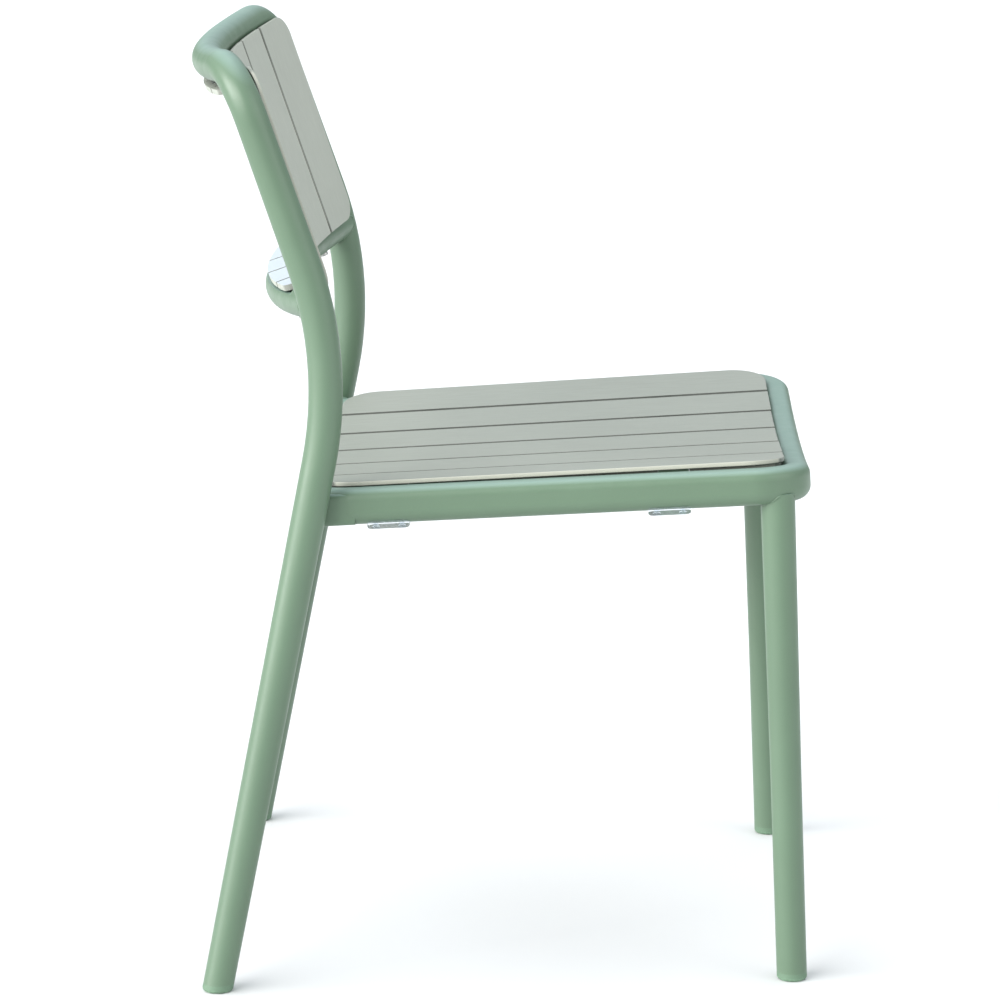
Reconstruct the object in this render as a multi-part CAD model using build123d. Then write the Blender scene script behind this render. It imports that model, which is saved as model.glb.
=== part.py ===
from build123d import *
from math import atan2, cos, degrees, radians, sin, sqrt, tan
import os

os.makedirs("parts", exist_ok=True)

# Stacking chair. Millimetres, +Z up, front towards -Y, the sitter's left at +X.
# The origin is on the floor, at the centre of the chair's outline.

# --- back frame tube ---------------------------------------------------------
TUBE_RADIUS = 14.0
TUBE_WALL = 2.0
REAR_FOOT = Vector(259.8, 238.3, 0)
REAR_FOOT_RADIUS = 13.0
REAR_KNEE = Vector(221.6, 132.4, 539.4)
REAR_KNEE_RADIUS = 14.5
REAR_BEND_RADIUS = 324.0
BACK_CORNER = Vector(218.0, 218.1, 786)
BACK_CORNER_RADIUS = 47.0
BACK_RAKE = 18.87
BACK_CURVE_RADIUS = 660.0
TOP_RAIL_SLOPE = 16.1

# --- front legs --------------------------------------------------------------
FRONT_FOOT = Vector(221.7, -254.6, 0)
FRONT_LEG_TOP = Vector(210.1, -237.2, 426)
FRONT_FOOT_RADIUS = 13.0
FRONT_TAPER_START = 185.0
FRONT_TAPER_RADIUS = 13.3
FRONT_TOP_RADIUS = 14.7

# --- seat ring ---------------------------------------------------------------
SEAT_HEIGHT = 440.0
SEAT_MIDDLE = 0.6
SEAT_TILT = 3.3
RING_WIDTH = 25.0
RING_DEPTH = 31.0
RING_TOP = -5.1
RING_TOP_FILLET = 9.0
RING_BOTTOM_FILLET = 12.0
RING_FRONT = -266.2
RING_REAR = 169.4
RING_FRONT_HALF = 231.0
RING_REAR_HALF = 219.0
RING_CORNER_RADIUS = 37.5
RING_DIP = 5.9

# --- seat slats --------------------------------------------------------------
SLAT_COUNT = 6
SEAT_SLAT_THICK = 4.0
SEAT_SLOT = 5.0
SEAT_PANEL_FRONT = -245.0
SEAT_PANEL_REAR = 148.0
SEAT_PANEL_FRONT_HALF = 210.3
SEAT_PANEL_REAR_HALF = 202.3
SEAT_PANEL_CORNER = 34.0
SEAT_DISH = 14.0
SEAT_DISH_HALF = 207.0
SEAT_SLAT_FILLET = 0.8
SEAT_LIP_THICK = 3.0
SEAT_LIP_DEPTH = 10.0
SEAT_LIP_GAP = 0.5
SEAT_LIP_NOTCH = 0.3
SEAT_LIP_INSET = 1.2

# --- seat cross bars ---------------------------------------------------------
BAR_PLACES = {"front": -150.0, "rear": 62.0}
BAR_WIDTH = 26.0
BAR_THICK = 10.0
SCREW_SHANK = 2.0
SCREW_HEAD = 4.2
SCREW_HEAD_HEIGHT = 2.6
SCREW_RECESS = 1.7
SEAT_SCREW_LENGTH = 12.4
HOLE_CLEARANCE = 0.3

# --- back slats, in the raked frame of the back ------------------------------
PLATE_BOTTOM = 162.0
PLATE_TOP = 360.0
PLATE_FRONT = -18.4
PLATE_THICK = 3.0
PLATE_HALF = 217.0
PLATE_CORNER = 20.0
SLAT_CORNER = 2.0
BACK_SLAT_FILLET = 1.0
BACK_SLOT = 4.0
FLANGE_THICK = 5.0
FLANGE_HALF = 186.0
FLANGE_CORNER = 10.0
LOW_FLANGE = 169.5
LOW_FLANGE_REACH = 13.3
HIGH_FLANGE = 343.5
HIGH_FLANGE_REACH = 10.5

# --- lower back rail ---------------------------------------------------------
LOW_RAIL = 157.5
LOW_RAIL_SAG = 43.5
LOW_RAIL_NOTCH = 167.3
LOW_RAIL_NOTCH_HALF = 191.0

# --- small parts -------------------------------------------------------------
GLIDE_HEIGHT = 7.0
GLIDE_FILLET = 3.0
GLIDE_PLUG = 20.0
PAD_PLACES = {"front": -144.8, "rear": 93.0}
PAD_LENGTH = 36.0
PAD_WIDTH = 22.0
PAD_DROP = 3.0
PAD_LIP = 3.4
RIVET_SPREAD = 11.0
BRACKET_WIDTH = 40.0
BRACKET_HEIGHT = 27.0
BRACKET_SINK = 3.0
BRACKET_FRONT = 121.0
BRACKET_REAR = 157.0

# Frames: the seat's, tilted down to the rear, and the back's, raked backwards.
tilt = radians(SEAT_TILT)
rake = radians(BACK_RAKE)
seat = Plane(origin=(0, SEAT_MIDDLE, SEAT_HEIGHT), x_dir=(1, 0, 0), z_dir=(0, sin(tilt), cos(tilt)))
back_foot_y = BACK_CORNER.Y - tan(rake) * (BACK_CORNER.Z - SEAT_HEIGHT)
back = Plane(origin=(0, back_foot_y, SEAT_HEIGHT), x_dir=(1, 0, 0), z_dir=(0, sin(rake), cos(rake)))
back_corner_up = (BACK_CORNER.Z - SEAT_HEIGHT) / cos(rake)
dish_radius = (SEAT_DISH_HALF**2 + SEAT_DISH**2) / (2 * SEAT_DISH)
dish_centre = dish_radius - SEAT_DISH
curve_centre = -sqrt(BACK_CURVE_RADIUS**2 - BACK_CORNER.X**2)
top_rail_slope = radians(TOP_RAIL_SLOPE)
low_rail_half = BACK_CORNER.X + (REAR_KNEE.X - BACK_CORNER.X) * (1 - LOW_RAIL / back_corner_up)
low_rail_radius = (low_rail_half**2 + LOW_RAIL_SAG**2) / (2 * LOW_RAIL_SAG)
low_rail_centre = LOW_RAIL_SAG - low_rail_radius
lowest = (Align.CENTER, Align.CENTER, Align.MIN)


def mirrored(shape):
    return shape.mirror(Plane.YZ)


def bend(corner, before, after, radius):
    """Arc that rounds the corner between two directions, with its two ends."""
    turn = radians(before.get_angle(after))
    reach = radius * tan(turn / 2)
    start = corner - before * reach
    end = corner + after * reach
    return start, end, Edge.make_tangent_arc(start, before, end)


def round_bar(path, radius):
    """Solid bar of round section along a path."""
    start = Plane(origin=path @ 0, z_dir=path % 0)
    return sweep(start * Circle(radius), path=path).solid()


def round_tube(path, radius):
    return round_bar(path, radius) - round_bar(path, radius - TUBE_WALL)


def cone_between(start, end, start_radius, end_radius):
    axis = end - start
    return Solid.make_cone(start_radius, end_radius, axis.length, Plane(origin=start, z_dir=axis))


def above(shape, height):
    """The part of a shape that is higher than a level plane."""
    return shape.split(Plane(origin=(0, 0, height), z_dir=(0, 0, 1)), keep=Keep.TOP)


def below(shape, height):
    return shape.split(Plane(origin=(0, 0, height), z_dir=(0, 0, 1)), keep=Keep.BOTTOM)


# --- back frame --------------------------------------------------------------
def rear_path_ends():
    """Directions of the leg and the upright, and the rounded knee between them."""
    leg = (REAR_KNEE - REAR_FOOT).normalized()
    upright = (BACK_CORNER - REAR_KNEE).normalized()
    return leg, upright, bend(REAR_KNEE, leg, upright, REAR_BEND_RADIUS)


def top_corner():
    """Rounded corner from the upright into the curved top rail."""
    upright = rear_path_ends()[1]
    back_part = sin(top_rail_slope)
    inward = Vector(-cos(top_rail_slope), back_part * cos(rake), -back_part * sin(rake))
    return bend(BACK_CORNER, upright, inward, BACK_CORNER_RADIUS)


def rear_tube(shrink):
    """Leg and upright in one bent tube, solid, with its radius made smaller by shrink."""
    leg, upright, (knee_start, knee_end, knee) = rear_path_ends()
    below_floor = REAR_FOOT - leg * 10
    taper = cone_between(below_floor, knee_start, REAR_FOOT_RADIUS - shrink, REAR_KNEE_RADIUS - shrink)
    bent = round_bar(Wire([knee]), REAR_KNEE_RADIUS - shrink)
    upper = cone_between(knee_end, top_corner()[0], REAR_KNEE_RADIUS - shrink, TUBE_RADIUS - shrink)
    return taper + bent + upper


def top_rail_path():
    start, end, corner = top_corner()
    arc = Edge.make_three_point_arc(end, rail_middle(end), Vector(-end.X, end.Y, end.Z))
    return Wire([corner, arc, corner.mirror(Plane.YZ)])


def rail_middle(end):
    """Middle of the top rail's arc, which leaves the corner's end without a kink."""
    local = back.to_local_coords(end)
    return back.from_local_coords(Vector(0, local.Y + end.X * tan(top_rail_slope / 2), local.Z))


def low_rail_path():
    points = [back.from_local_coords(low_rail_point(x)) for x in (low_rail_half, 0, -low_rail_half)]
    return Wire([Edge.make_three_point_arc(*points)])


def low_rail_point(x):
    """Point on the lower rail's axis, in the frame of the back."""
    return Vector(x, low_rail_centre + sqrt(low_rail_radius**2 - x**2), LOW_RAIL)


# --- seat ring ---------------------------------------------------------------
def ring_profile(shrink):
    outline = Rectangle(RING_WIDTH, RING_DEPTH)
    rows = outline.vertices().group_by(Axis.Y)
    outline = fillet(rows[-1], RING_TOP_FILLET)
    outline = fillet(outline.vertices().group_by(Axis.Y)[0], RING_BOTTOM_FILLET)
    return offset(outline, -shrink) if shrink else outline


def ring_bar(path, shrink):
    """Ring section swept along a path in the seat's frame, kept upright."""
    start = Plane(origin=path @ 0, x_dir=Vector(0, 0, 1).cross(path % 0), z_dir=path % 0)
    guide = path.moved(Location((0, 0, 100)))
    return sweep(start * ring_profile(shrink), path=path, binormal=guide).solid()


def ring_middle():
    return RING_TOP - RING_DEPTH / 2


def side_direction():
    """Forward along the left side rail."""
    half = RING_WIDTH / 2
    front = Vector(RING_FRONT_HALF - half, RING_FRONT + half, ring_middle())
    rear = Vector(RING_REAR_HALF - half, RING_REAR - half, ring_middle())
    return front, rear, (front - rear).normalized()


def rail_place(y):
    """Point on the left side rail's axis at a depth of the seat."""
    front, rear, forward = side_direction()
    return rear + forward * ((y - rear.Y) / forward.Y)


def front_corner():
    front, rear, forward = side_direction()
    inward = Vector(-cos(radians(RING_DIP)), 0, -sin(radians(RING_DIP)))
    return bend(front, forward, inward, RING_CORNER_RADIUS)


def rear_corner():
    front, rear, forward = side_direction()
    inward = Vector(-cos(radians(RING_DIP)), 0, -sin(radians(RING_DIP)))
    return bend(rear, forward * -1, inward, RING_CORNER_RADIUS)


def end_rail_path(corner_parts):
    """Corner, dipped rail and opposite corner."""
    start, end, corner = corner_parts
    middle = Vector(0, end.Y, end.Z - end.X * tan(radians(RING_DIP) / 2))
    arc = Edge.make_three_point_arc(end, middle, Vector(-end.X, end.Y, end.Z))
    return Wire([corner, arc, corner.mirror(Plane.YZ)])


def side_rail_path():
    return Wire([Edge.make_line(rear_corner()[0], front_corner()[0])])


def ring_parts(shrink):
    """The four rails of the ring as solid bars in the chair's frame."""
    side = seat.location * ring_bar(side_rail_path(), shrink)
    return {
        "seat_side_rail_left": side,
        "seat_side_rail_right": mirrored(side),
        "seat_front_rail": seat.location * ring_bar(end_rail_path(front_corner()), shrink),
        "seat_rear_rail": seat.location * ring_bar(end_rail_path(rear_corner()), shrink),
    }


# --- seat slats and cross bars -----------------------------------------------
def dish_band(upper, lower, half, front, rear):
    """Curved sheet under the dish line, from one depth to another, in the seat's frame."""
    angle = degrees(half / dish_radius)
    outer = CenterArc((0, dish_centre), dish_radius + lower, 270 - angle, 2 * angle)
    inner = CenterArc((0, dish_centre), dish_radius + upper, 270 - angle, 2 * angle)
    ends = [Line(inner @ side, outer @ side) for side in (0, 1)]
    face = Plane(origin=(0, rear, 0), x_dir=(1, 0, 0), z_dir=(0, -1, 0)) * make_face([inner, outer, *ends])
    return extrude(face, rear - front)


def slat_edge(index, y):
    """Across position of the boundary between two seat slats."""
    along = (y - SEAT_PANEL_FRONT) / (SEAT_PANEL_REAR - SEAT_PANEL_FRONT)
    half = SEAT_PANEL_FRONT_HALF + along * (SEAT_PANEL_REAR_HALF - SEAT_PANEL_FRONT_HALF)
    return half * (2 * index / SLAT_COUNT - 1)


def seat_slat_outline(index):
    left_gap = 0 if index == 0 else SEAT_SLOT / 2
    right_gap = 0 if index == SLAT_COUNT - 1 else SEAT_SLOT / 2
    points = [
        (slat_edge(index, SEAT_PANEL_FRONT) + left_gap, SEAT_PANEL_FRONT),
        (slat_edge(index + 1, SEAT_PANEL_FRONT) - right_gap, SEAT_PANEL_FRONT),
        (slat_edge(index + 1, SEAT_PANEL_REAR) - right_gap, SEAT_PANEL_REAR),
        (slat_edge(index, SEAT_PANEL_REAR) + left_gap, SEAT_PANEL_REAR),
    ]
    outline = make_face(Polyline(*points, close=True))
    if index == 0:
        outline = fillet(outline.vertices().sort_by(Axis.X)[:2], SEAT_PANEL_CORNER)
    if index == SLAT_COUNT - 1:
        outline = fillet(outline.vertices().sort_by(Axis.X)[-2:], SEAT_PANEL_CORNER)
    return outline


def seat_screw_frames():
    """One frame under each slat on each cross bar, with Z square to the slat."""
    frames = []
    for y in BAR_PLACES.values():
        for index in range(SLAT_COUNT):
            x = (slat_edge(index, y) + slat_edge(index + 1, y)) / 2
            angle = x / dish_radius
            depth = dish_radius + SEAT_SLAT_THICK + BAR_THICK
            origin = (depth * sin(angle), y, dish_centre - depth * cos(angle))
            frames.append(Plane(origin=origin, x_dir=(0, 1, 0), z_dir=(-sin(angle), 0, cos(angle))))
    return frames


def screw(frame, shank_length, extra):
    """Hex socket screw with its head under the frame's plane; extra makes the hole for its shank."""
    shank = Cylinder(SCREW_SHANK + extra, shank_length + extra, align=lowest)
    if extra:
        return frame.location * shank
    under = Pos(0, 0, -SCREW_HEAD_HEIGHT)
    head = under * Cylinder(SCREW_HEAD, SCREW_HEAD_HEIGHT, align=lowest)
    head = fillet(head.edges().group_by(Axis.Z)[0], 1.0)
    socket = under * extrude(RegularPolygon(SCREW_RECESS, 6), SCREW_HEAD_HEIGHT / 2, dir=(0, 0, 1))
    return frame.location * (shank + head - socket)


def column_of(outline):
    """Upright column through the seat over a flat outline."""
    return extrude(Pos(0, 0, -30) * outline, 60, dir=(0, 0, 1))


def seat_lip():
    """Band just inside the ring, turned down from the slats and notched for the cross bars."""
    front, rear = RING_FRONT + RING_WIDTH + SEAT_LIP_GAP, RING_REAR - RING_WIDTH - SEAT_LIP_GAP
    across = RING_WIDTH / 2 + SEAT_LIP_GAP
    front_half, rear_half = rail_place(front).X - across, rail_place(rear).X - across
    corners = [(-front_half, front), (front_half, front), (rear_half, rear), (-rear_half, rear)]
    outline = make_face(Polyline(*corners, close=True))
    outline = fillet(outline.vertices(), RING_CORNER_RADIUS - across)
    band = column_of(outline - offset(outline, -SEAT_LIP_THICK))
    lip = band & dish_band(SEAT_SLAT_THICK / 2, SEAT_LIP_DEPTH, front_half + 5, front - 5, rear + 5)
    for y in BAR_PLACES.values():
        lip = lip - Pos(0, y, 0) * Box(500, BAR_WIDTH + 2 * SEAT_LIP_NOTCH, 100)
    return lip


def seat_slats(holes):
    slats = {}
    wide = SEAT_PANEL_FRONT_HALF + 5
    sheet = dish_band(0, SEAT_SLAT_THICK, wide, SEAT_PANEL_FRONT - 5, SEAT_PANEL_REAR + 5)
    lip = seat_lip()
    for index in range(SLAT_COUNT):
        outline = seat_slat_outline(index)
        slat = (sheet & column_of(outline)).solid()
        top_faces = slat.faces().sort_by(Axis.Z)[-1:]
        slat = fillet(top_faces[0].edges(), SEAT_SLAT_FILLET)
        for part in (lip & column_of(offset(outline, -SEAT_LIP_INSET))).solids():
            slat = slat + part
        slats[f"seat_slat_{index + 1}"] = seat.location * (slat - holes)
    return slats


def cross_bar(y, holes, rails):
    """Curved bar under the slats, from one side rail to the other."""
    half = rail_place(y).X - RING_WIDTH / 2 + 0.5
    band = dish_band(SEAT_SLAT_THICK, SEAT_SLAT_THICK + BAR_THICK, half, y - BAR_WIDTH / 2, y + BAR_WIDTH / 2)
    placed = seat.location * (band - holes)
    for rail in rails:
        placed = placed - rail
    return placed.solids().sort_by(SortBy.VOLUME)[-1]


# --- back slats --------------------------------------------------------------
def curved_sheet(inner, outer, left, right, bottom, top):
    """Piece of a shell about the back's curve, between two places along the curve."""
    low, high = left / BACK_CURVE_RADIUS, right / BACK_CURVE_RADIUS
    radii = (BACK_CURVE_RADIUS + inner, BACK_CURVE_RADIUS + outer)
    start, size = 90 - degrees(high), degrees(high - low)
    arcs = [CenterArc((0, curve_centre), radius, start, size) for radius in radii]
    ends = [Line(arcs[0] @ side, arcs[1] @ side) for side in (0, 1)]
    return extrude(Pos(0, 0, bottom) * make_face([*arcs, *ends]), top - bottom, dir=(0, 0, 1))


def back_slat_span(index):
    pitch = 2 * PLATE_HALF / SLAT_COUNT
    left = -PLATE_HALF + index * pitch + (BACK_SLOT / 2 if index else 0)
    right = -PLATE_HALF + (index + 1) * pitch - (BACK_SLOT / 2 if index < SLAT_COUNT - 1 else 0)
    return left, right


def round_plate(plate, index):
    """Rounds a slat's corners, with a large radius where the panel itself ends."""
    for side, outermost in ((-1, index == 0), (1, index == SLAT_COUNT - 1)):
        thin = plate.edges().filter_by(lambda edge: abs(edge.length - PLATE_THICK) < 0.01)
        pair = thin.sort_by(lambda edge: side * edge.center().X)[-2:]
        plate = fillet(pair, PLATE_CORNER if outermost else SLAT_CORNER)
    return plate


def flange(bottom, reach, left, right):
    """Ledge behind the plate that lies along a rail, rounded at the panel's outer ends."""
    left = max(left, -FLANGE_HALF)
    right = min(right, FLANGE_HALF)
    ledge = curved_sheet(PLATE_FRONT + PLATE_THICK, reach, left, right, bottom, bottom + FLANGE_THICK)
    if left == -FLANGE_HALF:
        ledge = fillet(rear_corner_edge(ledge, -1), FLANGE_CORNER)
    if right == FLANGE_HALF:
        ledge = fillet(rear_corner_edge(ledge, 1), FLANGE_CORNER)
    return ledge


def rear_corner_edge(ledge, side):
    """Upright edge at the rear of a ledge's outer end."""
    edges = ledge.edges().filter_by(Axis.Z).sort_by(Axis.X)
    pair = edges[-2:] if side > 0 else edges[:2]
    return pair.sort_by(Axis.Y)[-1]


def back_slat(index, holes):
    left, right = back_slat_span(index)
    plate = curved_sheet(PLATE_FRONT, PLATE_FRONT + PLATE_THICK, left, right, PLATE_BOTTOM, PLATE_TOP)
    plate = round_plate(plate, index)
    front = plate.faces().sort_by(SortBy.AREA)[-2:].sort_by(Axis.Y)[0]
    plate = fillet(front.edges(), BACK_SLAT_FILLET)
    low = flange(LOW_FLANGE, LOW_FLANGE_REACH, left, right)
    high = flange(HIGH_FLANGE, HIGH_FLANGE_REACH, left, right)
    return back.location * (plate + low + high - holes)


def back_screw_frames():
    """Screw places along the two rails: frame, shank length and spacer height."""
    frames = []
    for index in range(SLAT_COUNT):
        left, right = back_slat_span(index)
        angle = (max(left, -FLANGE_HALF) + min(right, FLANGE_HALF)) / 2 / BACK_CURVE_RADIUS
        x = BACK_CURVE_RADIUS * sin(angle)
        low = low_rail_point(x) - Vector(0, 0, TUBE_RADIUS)
        high = Vector(x, curve_centre + BACK_CURVE_RADIUS * cos(angle), HIGH_FLANGE)
        frames.append((Plane(origin=low), LOW_FLANGE + 3.0 - low.Z))
        frames.append((Plane(origin=high), back_corner_up - TUBE_RADIUS + TUBE_WALL + 3.0 - HIGH_FLANGE))
    return frames


def back_spacers(top_bar):
    """Soft washers between the flanges and the rails."""
    spacers = []
    for frame, shank in back_screw_frames():
        low = frame.origin.Z < HIGH_FLANGE
        bottom = LOW_RAIL_NOTCH if low else HIGH_FLANGE + FLANGE_THICK
        height = LOW_FLANGE - LOW_RAIL_NOTCH if low else back_corner_up - TUBE_RADIUS + 1.0 - bottom
        ring = Cylinder(5.0, height, align=lowest) - Cylinder(SCREW_SHANK + HOLE_CLEARANCE, height, align=lowest)
        placed = back.location * (Pos(frame.origin.X, frame.origin.Y, bottom) * ring)
        if not low:
            placed = placed - top_bar
        spacers.append(placed.solids().sort_by(SortBy.VOLUME)[-1])
    return Compound(spacers)


# --- legs and small parts ----------------------------------------------------
def front_leg(shrink):
    """Tapered front leg from under the floor to inside the ring, solid."""
    axis = FRONT_LEG_TOP - FRONT_FOOT
    low = FRONT_FOOT - axis * (10 / axis.Z)
    waist = FRONT_FOOT + axis * (FRONT_TAPER_START / axis.Z)
    lower = cone_between(low, waist, FRONT_FOOT_RADIUS - shrink, FRONT_TAPER_RADIUS - shrink)
    upper = cone_between(waist, FRONT_LEG_TOP, FRONT_TAPER_RADIUS - shrink, FRONT_TOP_RADIUS - shrink)
    return lower + upper


def glide(bar, foot, direction, radius):
    """Plastic cap on the tube's end, with a plug inside the tube."""
    cap = above(below(bar, GLIDE_HEIGHT), 0)
    cap = fillet(cap.edges().group_by(Axis.Z)[0], GLIDE_FILLET)
    middle = foot + direction * GLIDE_HEIGHT
    end = foot + direction * (GLIDE_HEIGHT + GLIDE_PLUG)
    plug = cone_between(middle - direction * 2, end, radius - TUBE_WALL - 0.2, radius - TUBE_WALL - 0.6)
    return cap + plug


def pad(y, rail):
    """Soft saddle under a side rail that keeps a stacked chair from scratching."""
    forward = side_direction()[2]
    x = rail_place(y).X
    bottom = RING_TOP - RING_DEPTH
    block = Box(PAD_WIDTH, PAD_LENGTH, PAD_DROP + PAD_LIP, align=lowest)
    block = fillet(block.edges().filter_by(Axis.Z), 5.0)
    block = fillet(block.edges().group_by(Axis.Z)[0], 1.5)
    turn = degrees(atan2(forward.X, -forward.Y))
    placed = Location((x, y, bottom - PAD_DROP), (0, 0, turn)) * block
    return seat.location * placed - rail, Location((x, y, bottom), (0, 0, turn))


def pad_rivets(place, extra):
    """Two blind rivets through a pad into the rail."""
    rivets = []
    top = (Align.CENTER, Align.CENTER, Align.MAX)
    for y in (-RIVET_SPREAD, RIVET_SPREAD):
        shank = Pos(0, y, TUBE_WALL) * Cylinder(1.6 + extra, PAD_DROP + TUBE_WALL, align=top)
        head = Pos(0, y, 1.2 - PAD_DROP) * Cylinder(3.0 + extra, 1.4 + 10 * extra, align=top)
        rivets.append(seat.location * (place * (shank + head)))
    return rivets


def bracket(rear_bar, ring_bars):
    """Web between the rear tube and the outside of the ring's rear corner."""
    outer = side_direction()[1].X + RING_WIDTH / 2 + 0.3
    top = RING_TOP - BRACKET_SINK
    length = BRACKET_REAR - BRACKET_FRONT
    block = Box(BRACKET_WIDTH, length, BRACKET_HEIGHT, align=(Align.MAX, Align.MIN, Align.MAX))
    block = fillet(block.edges().filter_by(Axis.Y), 4.0)
    web = seat.location * (Pos(outer, BRACKET_FRONT, top) * block) - rear_bar
    for rail in ring_bars:
        web = web - rail
    return web.solids().sort_by(lambda piece: piece.center().X)[-1]


# --- assembly ----------------------------------------------------------------
nodes = {}

ring_bars = ring_parts(0)
ring_bores = ring_parts(TUBE_WALL)
screw_frames = seat_screw_frames()
seat_holes = [screw(frame, SEAT_SCREW_LENGTH, HOLE_CLEARANCE) for frame in screw_frames]

rear_bar = rear_tube(0)
rear_bars = [rear_bar, mirrored(rear_bar)]
rear_hollow = above(rear_bar - rear_tube(TUBE_WALL), GLIDE_HEIGHT)

top_path = top_rail_path()
back_screws = back_screw_frames()
back_holes = [screw(frame, length, HOLE_CLEARANCE) for frame, length in back_screws]
placed_back_holes = [back.location * hole for hole in back_holes]
top_rail = round_tube(top_path, TUBE_RADIUS)
low_bar = round_bar(low_rail_path(), TUBE_RADIUS)
notch = back.location * curved_sheet(
    -25, 30, -LOW_RAIL_NOTCH_HALF, LOW_RAIL_NOTCH_HALF, LOW_RAIL_NOTCH, LOW_RAIL_NOTCH + 20
)
low_rail = low_bar - notch - (round_bar(low_rail_path(), TUBE_RADIUS - TUBE_WALL) - notch)
for bar in rear_bars:
    low_rail = low_rail - bar

nodes["rear_tube_left"] = rear_hollow
nodes["rear_tube_right"] = mirrored(rear_hollow)
nodes["top_back_rail"] = top_rail - placed_back_holes
nodes["lower_back_rail"] = low_rail - placed_back_holes

pad_places = []
for side in ("left", "right"):
    rail = ring_bars["seat_side_rail_left"]
    for end, y in PAD_PLACES.items():
        shape, place = pad(y, rail)
        for cutter in pad_rivets(place, HOLE_CLEARANCE):
            shape = shape - cutter
        nodes[f"stacking_pad_{end}_{side}"] = shape if side == "left" else mirrored(shape)
        if side == "left":
            pad_places.append(place)

rivets = [rivet for place in pad_places for rivet in pad_rivets(place, 0)]
rivet_holes = [hole for place in pad_places for hole in pad_rivets(place, HOLE_CLEARANCE)]
rivets += [mirrored(rivet) for rivet in rivets]
rivet_holes += [mirrored(hole) for hole in rivet_holes]

for name, bar in ring_bars.items():
    rail = bar - ring_bores[name]
    if "side" in name:
        rail = rail - rivet_holes
    nodes[name] = rail

for name, y in BAR_PLACES.items():
    nodes[f"seat_cross_bar_{name}"] = cross_bar(y, seat_holes, ring_bars.values())

nodes.update(seat_slats(seat_holes))
for index in range(SLAT_COUNT):
    nodes[f"back_slat_{index + 1}"] = back_slat(index, back_holes)

leg_bar = front_leg(0)
leg = above(leg_bar - front_leg(TUBE_WALL), GLIDE_HEIGHT)
for rail in ring_bars.values():
    leg = leg - rail
leg = leg.solids().sort_by(SortBy.VOLUME)[-1]
nodes["front_leg_left"] = leg
nodes["front_leg_right"] = mirrored(leg)

web = bracket(rear_bar, ring_bars.values())
nodes["rear_bracket_left"] = web
nodes["rear_bracket_right"] = mirrored(web)

rear_glide = glide(rear_bar, REAR_FOOT, rear_path_ends()[0], REAR_FOOT_RADIUS)
front_axis = (FRONT_LEG_TOP - FRONT_FOOT).normalized()
front_glide = glide(leg_bar, FRONT_FOOT, front_axis, FRONT_FOOT_RADIUS)
for name, shape in (("rear_glide", rear_glide), ("front_glide", front_glide)):
    nodes[f"{name}_left"] = shape
    nodes[f"{name}_right"] = mirrored(shape)

seat_set = [seat.location * screw(frame, SEAT_SCREW_LENGTH, 0) for frame in screw_frames]
back_set = [back.location * screw(frame, length, 0) for frame, length in back_screws]
nodes["seat_screws"] = Compound(seat_set)
nodes["back_screws"] = Compound(back_set)
nodes["back_spacers"] = back_spacers(round_bar(top_path, TUBE_RADIUS))
nodes["pad_rivets"] = Compound(rivets)

for name, shape in nodes.items():
    export_step(shape, f"parts/{name}.step")

total = sum(shape.volume for shape in nodes.values())
print(len(nodes), "nodes, volume in cubic centimetres:", round(total / 1000))
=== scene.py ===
import bpy
import math
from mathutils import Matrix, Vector
from mathutils.bvhtree import BVHTree


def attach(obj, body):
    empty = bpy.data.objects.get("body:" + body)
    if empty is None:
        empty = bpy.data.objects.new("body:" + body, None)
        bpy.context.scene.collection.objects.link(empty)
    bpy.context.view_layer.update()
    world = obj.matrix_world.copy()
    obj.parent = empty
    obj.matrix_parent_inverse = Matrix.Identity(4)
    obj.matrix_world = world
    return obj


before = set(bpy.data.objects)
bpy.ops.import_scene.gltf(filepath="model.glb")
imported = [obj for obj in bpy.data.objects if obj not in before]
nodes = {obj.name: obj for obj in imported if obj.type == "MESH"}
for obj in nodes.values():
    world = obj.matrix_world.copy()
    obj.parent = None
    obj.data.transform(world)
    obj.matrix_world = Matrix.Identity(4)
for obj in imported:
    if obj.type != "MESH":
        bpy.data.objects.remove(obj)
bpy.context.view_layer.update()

# Camera: left side of the chair, slightly above the seat.
CAMERA_PLACE = Vector((-3.88985, -0.0490, 1.21828))
CAMERA_YAW = math.radians(89.28)
CAMERA_PITCH = math.radians(12.26)
LENS = 160.36
SENSOR = 36.0

# Colours, linear.
GREEN = (0.106, 0.171, 0.109)
# Painted reflection of the bright ceiling: the frame's up-facing faces are paler and bluer than the
# frame green.
SKY_SHEEN_GREEN = (0.19, 0.285, 0.24)
SLAT = (0.280, 0.297, 0.262)
BACK_SLAT = (0.388, 0.408, 0.356)
SLAT_EDGE = (0.46, 0.46, 0.39)
# Painted reflection of bright light: the back slats' up-facing ledge tops, paler and bluer than the
# slat.
LEDGE_SHEEN = (0.50, 0.56, 0.62)
STEEL = (0.56, 0.56, 0.54)
CLEAR = (0.93, 0.97, 1.0)
GLIDE = (0.125, 0.205, 0.135)
FLOOR = (0.72, 0.72, 0.72)
SKY = (0.82, 0.88, 0.94)
HORIZON = (0.20, 0.21, 0.225)

# Slats, in metres. The grain is stretched along each slat by small scales.
BACK_FACING = (0, -0.946, 0.323)
SEAT_GRAIN = (1, 0.03, 1)
BACK_GRAIN = (1, 0.3, 0.05)
SEAT_EDGE_START = 0.192
BACK_EDGE_START = 0.199
EDGE_BLEND = 0.003
# Painted shade on the slot walls, as factors on the slat colour.
SEAT_SLOT_SHADE_TONE = 0.4
BACK_SLOT_SHADE_TONE = 0.55
LEDGE_TOP = 0.60
LEDGE_BLEND = 0.02

# Reach of the painted shade in joints and slots, with some dust in the joints, in metres.
JOINT_REACH = 0.012
SLOT_REACH = 0.009

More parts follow.
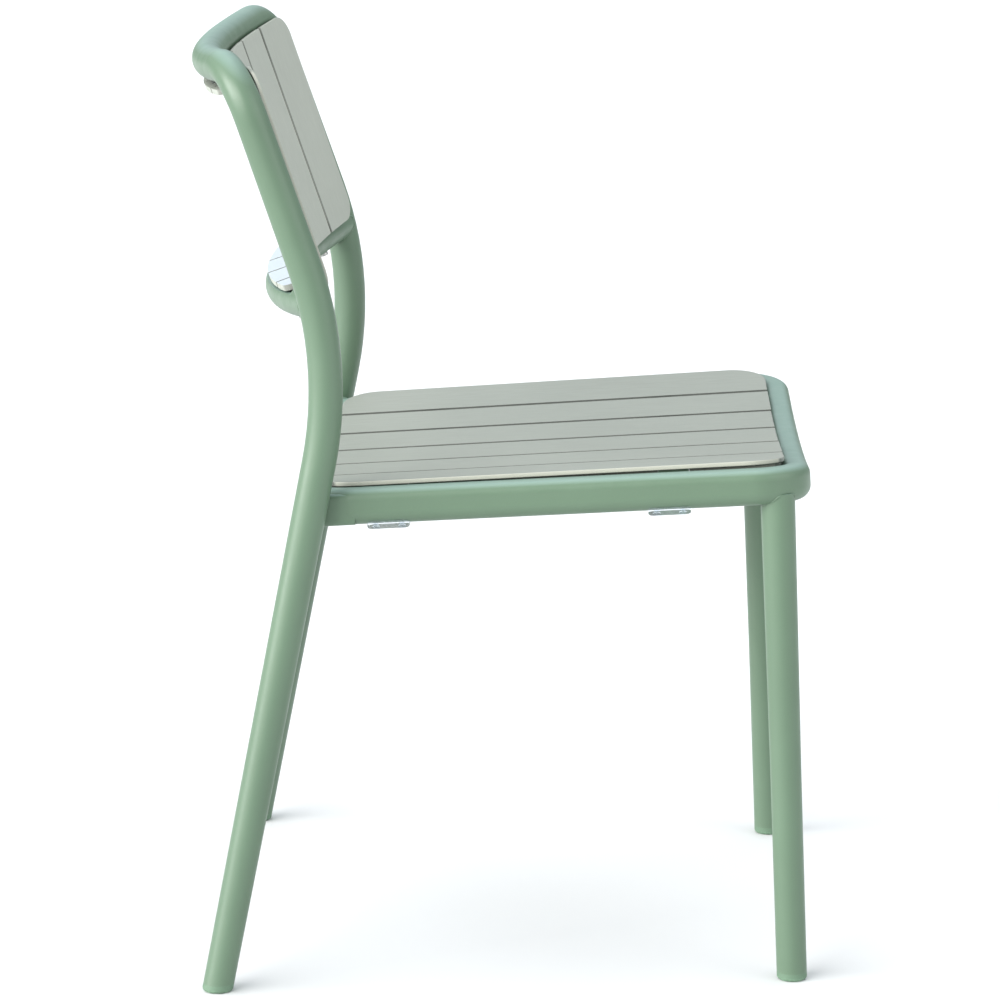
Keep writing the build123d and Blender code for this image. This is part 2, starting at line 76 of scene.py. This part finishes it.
# Welds, in metres.
TOUCH = 0.0003
RIM_SECTORS = 96
RELAX_TURNS = 3
BACK_RAIL_BEAD = 0.0010
BRACKET_BEAD = 0.0015
LEG_BEAD = 0.0009
CROSS_BAR_BEAD = 0.0013
BEAD_ROUNDNESS = 4
BEAD_RIPPLE = 0.06
BEAD_RIPPLE_STEP = 1.9

# Soft lamps: direction from the chair, strength, spread in degrees and colour.
LAMPS = {
    "key_lamp": ((-0.66, 0.60, 0.44), 2.4, 40, (1.0, 0.99, 0.96)),
    "side_lamp": ((-0.25, 0.93, 0.28), 2.8, 35, (1.0, 0.99, 0.98)),
    "fill_lamp": ((-0.42, -0.80, 0.40), 0.8, 50, (1.0, 0.99, 0.97)),
    "top_lamp": ((0.15, 0.1, 1.0), 0.85, 50, (0.96, 0.99, 1.0)),
}
LAMP_DISTANCE = 3
WALL_FOOT = -0.02
WALL_TOP = 0.42
FLOOR_SIZE = 30


# --- material building blocks --------------------------------------------------
def new_material(name):
    """A material with an empty Principled surface, its node tree and shader."""
    material = bpy.data.materials.new(name)
    material.use_nodes = True
    tree = material.node_tree
    shader = tree.nodes["Principled BSDF"]
    return material, tree, shader


def node(tree, kind, inputs=None, **settings):
    """A node with its settings made and its inputs linked or set."""
    made = tree.nodes.new(kind)
    for key, value in settings.items():
        setattr(made, key, value)
    for key, value in (inputs or {}).items():
        if isinstance(value, bpy.types.NodeSocket):
            tree.links.new(value, made.inputs[key])
        else:
            made.inputs[key].default_value = value
    return made


def place(tree, stretch=(1, 1, 1)):
    """Object coordinates in metres, squeezed along the axes by stretch."""
    source = node(tree, "ShaderNodeTexCoord")
    mapping = node(tree, "ShaderNodeMapping", {"Vector": source.outputs["Object"], "Scale": stretch})
    return mapping.outputs[0]


def noise(tree, vector, scale, detail=2.0, roughness=0.5):
    made = node(tree, "ShaderNodeTexNoise", {
        "Vector": vector, "Scale": scale, "Detail": detail, "Roughness": roughness,
    })
    return made.outputs["Fac"]


def remap(tree, value, low, high, to_low=0.0, to_high=1.0):
    made = node(tree, "ShaderNodeMapRange", {
        "Value": value, "From Min": low, "From Max": high, "To Min": to_low, "To Max": to_high,
    })
    return made.outputs[0]


def mix(tree, factor, first, second):
    made = node(tree, "ShaderNodeMix", data_type="RGBA")
    for key, value in ((0, factor), (6, first), (7, second)):
        if isinstance(value, bpy.types.NodeSocket):
            tree.links.new(value, made.inputs[key])
        else:
            made.inputs[key].default_value = value if key == 0 else (*value, 1)
    return made.outputs[2]


def bump(tree, height, strength, distance, normal=None):
    inputs = {"Height": height, "Strength": strength, "Distance": distance}
    if normal is not None:
        inputs["Normal"] = normal
    return node(tree, "ShaderNodeBump", inputs).outputs[0]


def product(tree, first, second):
    return node(tree, "ShaderNodeMath", {0: first, 1: second}, operation="MULTIPLY").outputs[0]


def across_of(tree, vector):
    """How far a vector reaches to either side of the chair's middle plane."""
    across = node(tree, "ShaderNodeSeparateXYZ", {0: vector}).outputs[0]
    return node(tree, "ShaderNodeMath", {0: across}, operation="ABSOLUTE").outputs[0]


def height_of(tree, vector):
    return node(tree, "ShaderNodeSeparateXYZ", {0: vector}).outputs[2]


def normal_of(tree):
    return node(tree, "ShaderNodeNewGeometry").outputs["Normal"]


def openness(tree, reach):
    """One on an open face, falling to nothing deep in a joint or slot."""
    hollow = node(tree, "ShaderNodeAmbientOcclusion", {"Distance": reach}, samples=4, only_local=False)
    return hollow.outputs["AO"]


def scaled(colour, factor):
    return tuple(c * factor for c in colour)


# --- materials -------------------------------------------------------------------
def powder_coat(name, colour, sheen_colour):
    """Satin powder coat: slow tone changes, a painted reflection that makes up-facing faces paler,
    orange peel, and painted shade with some dust darkening the joints.
    """
    material, tree, shader = new_material(name)
    where = place(tree)
    tone = remap(tree, noise(tree, where, 9.0, 3.0), 0.35, 0.65)
    speckle = remap(tree, noise(tree, where, 1500.0, 1.0), 0.4, 0.6)
    base = mix(tree, tone, scaled(colour, 0.965), scaled(colour, 1.035))
    base = mix(tree, remap(tree, speckle, 0, 1, 0, 0.16), base, scaled(colour, 1.18))
    # Painted shade with some dust: the green darkens deep in joints, where little light reaches.
    joint_shade_and_dust = remap(tree, openness(tree, JOINT_REACH), 0.25, 0.75, 0.35, 0.0)
    # Painted reflection of the bright ceiling: faces that look up are mixed towards a paler, bluer
    # green.
    upward_sheen = remap(tree, height_of(tree, normal_of(tree)), 0.6, 0.97)
    base = mix(tree, upward_sheen, base, sheen_colour)
    base = mix(tree, joint_shade_and_dust, base, scaled(colour, 0.62))
    tree.links.new(base, shader.inputs["Base Color"])
    satin = remap(tree, noise(tree, where, 60.0), 0.3, 0.7, 0.37, 0.45)
    tree.links.new(satin, shader.inputs["Roughness"])
    shader.inputs["Specular IOR Level"].default_value = 0.55
    coarse = bump(tree, noise(tree, where, 420.0, 2.0), 0.35, 0.00012)
    fine = bump(tree, noise(tree, where, 1600.0, 2.0), 0.35, 0.00006, coarse)
    tree.links.new(fine, shader.inputs["Normal"])
    return material


def slat_plastic(name, colour, grain, up, edge_start, slot_shade_tone, ledge_sheen_colour=None):
    """Matt slat with lengthwise grain, painted shade in the slots, a paler outer edge and, if a ledge
    colour is given, a painted reflection on the ledge tops; up is square to its face.
    """
    material, tree, shader = new_material(name)
    where = place(tree)
    along = place(tree, grain)
    tone = remap(tree, noise(tree, where, 7.0, 2.0), 0.35, 0.65)
    streak = remap(tree, noise(tree, along, 600.0, 3.0, 0.6), 0.3, 0.7)
    base = mix(tree, tone, scaled(colour, 0.975), scaled(colour, 1.025))
    base = mix(tree, remap(tree, streak, 0, 1, 0, 0.22), base, scaled(colour, 0.86))
    facing = node(tree, "ShaderNodeVectorMath", {0: normal_of(tree), 1: up}, operation="DOT_PRODUCT")
    turned = remap(tree, facing.outputs["Value"], 0.45, 0.9, 1.0, 0.0)
    outside = remap(tree, across_of(tree, where), edge_start, edge_start + EDGE_BLEND)
    base = mix(tree, product(tree, turned, outside), base, SLAT_EDGE)
    # Painted shade: side walls of the slots, away from the outer edge, are darkened.
    sideways = remap(tree, across_of(tree, normal_of(tree)), 0.3, 0.6)
    slot_wall_shade = product(tree, sideways, remap(tree, outside, 0, 1, 1, 0))
    base = mix(tree, slot_wall_shade, base, scaled(colour, slot_shade_tone))
    # Painted reflection of bright light: up-facing ledge tops below LEDGE_TOP turn paler and bluer.
    if ledge_sheen_colour:
        upward_sheen = remap(tree, height_of(tree, normal_of(tree)), 0.8, 0.93)
        low = remap(tree, height_of(tree, where), LEDGE_TOP, LEDGE_TOP + LEDGE_BLEND, 1.0, 0.0)
        base = mix(tree, product(tree, upward_sheen, low), base, ledge_sheen_colour)
    shade = remap(tree, openness(tree, SLOT_REACH), 0.2, 0.75, 0.85, 0.0)
    base = mix(tree, shade, base, scaled(colour, 0.3))
    tree.links.new(base, shader.inputs["Base Color"])
    tree.links.new(remap(tree, streak, 0, 1, 0.5, 0.62), shader.inputs["Roughness"])
    shader.inputs["Specular IOR Level"].default_value = 0.4
    grained = bump(tree, noise(tree, along, 700.0, 3.0, 0.6), 0.3, 0.00012)
    fine = bump(tree, noise(tree, where, 1800.0, 2.0), 0.25, 0.00005, grained)
    tree.links.new(fine, shader.inputs["Normal"])
    return material


def steel(name):
    """Stainless screw heads, finely pitted, with light smears."""
    material, tree, shader = new_material(name)
    where = place(tree)
    smear = remap(tree, noise(tree, where, 500.0, 3.0), 0.3, 0.7)
    tree.links.new(mix(tree, smear, scaled(STEEL, 0.82), STEEL), shader.inputs["Base Color"])
    shader.inputs["Metallic"].default_value = 1.0
    tree.links.new(remap(tree, smear, 0, 1, 0.28, 0.45), shader.inputs["Roughness"])
    tree.links.new(bump(tree, noise(tree, where, 2500.0, 2.0), 0.3, 0.00005), shader.inputs["Normal"])
    return material


def clear_plastic(name):
    """Soft clear plastic, a little milky, with fine scuffs."""
    material, tree, shader = new_material(name)
    where = place(tree)
    milk = remap(tree, noise(tree, where, 140.0, 3.0), 0.35, 0.65)
    tree.links.new(mix(tree, milk, scaled(CLEAR, 0.95), CLEAR), shader.inputs["Base Color"])
    scuff = remap(tree, noise(tree, where, 250.0, 2.0), 0.3, 0.7, 0.04, 0.14)
    tree.links.new(scuff, shader.inputs["Roughness"])
    shader.inputs["Transmission Weight"].default_value = 0.97
    shader.inputs["IOR"].default_value = 1.03
    tree.links.new(bump(tree, noise(tree, where, 300.0, 2.0), 0.15, 0.00005), shader.inputs["Normal"])
    return material


def nylon(name):
    """Moulded nylon with a spark-eroded grain and scuffs near the floor."""
    material, tree, shader = new_material(name)
    where = place(tree)
    scuff = remap(tree, noise(tree, where, 300.0, 4.0, 0.7), 0.45, 0.6)
    low = remap(tree, height_of(tree, where), 0.0, 0.004, 1.0, 0.0)
    worn = mix(tree, product(tree, scuff, low), GLIDE, scaled(GLIDE, 1.9))
    tree.links.new(worn, shader.inputs["Base Color"])
    tree.links.new(remap(tree, scuff, 0, 1, 0.55, 0.7), shader.inputs["Roughness"])
    tree.links.new(bump(tree, noise(tree, where, 1500.0, 2.0), 0.4, 0.0001), shader.inputs["Normal"])
    return material


def floor_material(name):
    """Pale, matt and barely clouded."""
    material, tree, shader = new_material(name)
    where = place(tree)
    cloud = remap(tree, noise(tree, where, 1.5, 3.0), 0.3, 0.7)
    tree.links.new(mix(tree, cloud, scaled(FLOOR, 0.985), FLOOR), shader.inputs["Base Color"])
    shader.inputs["Roughness"].default_value = 0.85
    return material


# --- dressing the frame ------------------------------------------------------------
def direction_of(name):
    """Unit vector square to a slat, from all its faces that look up, by their areas."""
    total = Vector((0, 0, 0))
    for face in nodes[name].data.polygons:
        if face.normal.z > 0.3:
            total += face.normal * face.area
    return total.normalized()


def dress(material, *starts):
    """Gives the material to every CAD node whose name begins with one of starts."""
    for name, piece in nodes.items():
        if name.startswith(starts):
            piece.data.materials.clear()
            piece.data.materials.append(material)
            for face in piece.data.polygons:
                face.material_index = 0


coat = powder_coat("sage_powder_coat", GREEN, SKY_SHEEN_GREEN)
dress(coat, "rear_tube", "top_back_rail", "lower_back_rail", "seat_side_rail", "seat_front_rail",
      "seat_rear_rail", "rear_bracket", "front_leg", "seat_cross_bar")
seat_up = tuple(direction_of("seat_slat_3"))
seat_plastic = slat_plastic(
    "seat_slat_plastic", SLAT, SEAT_GRAIN, seat_up, SEAT_EDGE_START, SEAT_SLOT_SHADE_TONE)
back_plastic = slat_plastic(
    "back_slat_plastic", BACK_SLAT, BACK_GRAIN, BACK_FACING, BACK_EDGE_START, BACK_SLOT_SHADE_TONE, LEDGE_SHEEN)
dress(seat_plastic, "seat_slat")
dress(back_plastic, "back_slat")
dress(steel("stainless_steel"), "seat_screws", "back_screws")
dress(clear_plastic("clear_soft_plastic"), "stacking_pad", "back_spacers", "pad_rivets")
dress(nylon("green_nylon"), "front_glide", "rear_glide")


# --- weld beads ----------------------------------------------------------------------
def surface_of(name):
    """Search tree of a CAD node's faces, in the row frame."""
    mesh = nodes[name].data
    corners = [vertex.co for vertex in mesh.vertices]
    return BVHTree.FromPolygons(corners, [tuple(face.vertices) for face in mesh.polygons])


def touching_points(name, other):
    """Points of one CAD node's mesh that lie on the surface of another."""
    surface = surface_of(other)
    points = [vertex.co.copy() for vertex in nodes[name].data.vertices]
    return [point for point in points if surface.find_nearest(point, TOUCH)[0]]


def joint_loop(points, axis):
    """The outermost of a joint's points in each direction about its middle, in order."""
    centre = sum(points, Vector()) / len(points)
    across = axis.orthogonal().normalized()
    up = axis.cross(across)
    rim = {}
    for point in points:
        arm = point - centre
        x, y = arm.dot(across), arm.dot(up)
        sector = int((math.atan2(y, x) / math.tau + 0.5) * RIM_SECTORS)
        if sector not in rim or math.hypot(x, y) > rim[sector][0]:
            rim[sector] = (math.hypot(x, y), point)
    return [rim[sector][1] for sector in sorted(rim)]


def relaxed(points):
    """A closed loop with its small steps evened out."""
    count = len(points)
    for _ in range(RELAX_TURNS):
        points = [(points[i - 1] + points[i] * 2 + points[(i + 1) % count]) / 4 for i in range(count)]
    return points


def bead(name, points, radius):
    """Weld bead along a closed loop, a little uneven, as a hand-made seam is."""
    data = bpy.data.curves.new(name, "CURVE")
    data.dimensions = "3D"
    data.bevel_depth = radius
    data.bevel_resolution = BEAD_ROUNDNESS
    spline = data.splines.new("POLY")
    spline.points.add(len(points) - 1)
    for index, (spot, point) in enumerate(zip(spline.points, points)):
        spot.co = (*point, 1)
        spot.radius = 1.0 + BEAD_RIPPLE * math.sin(index * BEAD_RIPPLE_STEP)
    spline.use_cyclic_u = True
    seam = bpy.data.objects.new(name, data)
    bpy.context.scene.collection.objects.link(seam)
    data.materials.append(coat)
    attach(seam, "root")


def weld(name, other, axis, radius):
    """Bead around the joint where one node meets another; axis runs through the joint."""
    points = touching_points(name, other)
    bead(f"weld_{name}_{other}", relaxed(joint_loop(points, Vector(axis))), radius)


for side in ("left", "right"):
    side_rail = f"seat_side_rail_{side}"
    weld("lower_back_rail", f"rear_tube_{side}", (1, 0, 0), BACK_RAIL_BEAD)
    weld(f"rear_bracket_{side}", f"rear_tube_{side}", (0, 1, 0), BRACKET_BEAD)
    weld(f"front_leg_{side}", "seat_front_rail", (0, 0, 1), LEG_BEAD)
    weld("seat_cross_bar_front", side_rail, (1, 0, 0), CROSS_BAR_BEAD)
    weld("seat_cross_bar_rear", side_rail, (1, 0, 0), CROSS_BAR_BEAD)


# --- stage, light and camera ---------------------------------------------------------
def make_floor():
    bpy.ops.mesh.primitive_plane_add(size=FLOOR_SIZE)
    floor = bpy.context.object
    floor.name = "studio_floor"
    floor.data.materials.append(floor_material("pale_floor"))


def soft_lamp(name, towards, strength, spread, colour):
    """Large distant light; towards points from the chair to the lamp."""
    data = bpy.data.lights.new(name, "SUN")
    data.energy = strength
    data.angle = math.radians(spread)
    data.color = colour
    lamp = bpy.data.objects.new(name, data)
    lamp.location = Vector(towards).normalized() * LAMP_DISTANCE
    lamp.rotation_euler = Vector(towards).to_track_quat("Z", "Y").to_euler()
    bpy.context.scene.collection.objects.link(lamp)


def studio_light():
    """Bright ceiling, dimmer walls, and the soft lamps."""
    world = bpy.data.worlds.new("white_studio")
    world.use_nodes = True
    tree = world.node_tree
    where = node(tree, "ShaderNodeTexCoord").outputs["Generated"]
    studio = mix(tree, remap(tree, height_of(tree, where), WALL_FOOT, WALL_TOP), HORIZON, SKY)
    tree.links.new(studio, tree.nodes["Background"].inputs["Color"])
    bpy.context.scene.world = world
    for name, settings in LAMPS.items():
        soft_lamp(name, *settings)


def camera():
    """Camera at its place, turned by yaw from +Y towards +X and tilted down by pitch."""
    data = bpy.data.cameras.new("camera")
    data.lens = LENS
    data.sensor_width = SENSOR
    eye = bpy.data.objects.new("camera", data)
    forward = Vector((
        math.sin(CAMERA_YAW) * math.cos(CAMERA_PITCH),
        math.cos(CAMERA_YAW) * math.cos(CAMERA_PITCH),
        -math.sin(CAMERA_PITCH),
    ))
    eye.location = CAMERA_PLACE
    eye.rotation_euler = forward.to_track_quat("-Z", "Y").to_euler()
    bpy.context.scene.collection.objects.link(eye)
    bpy.context.scene.camera = eye


make_floor()
studio_light()
camera()
bpy.context.scene.view_settings.view_transform = "Standard"
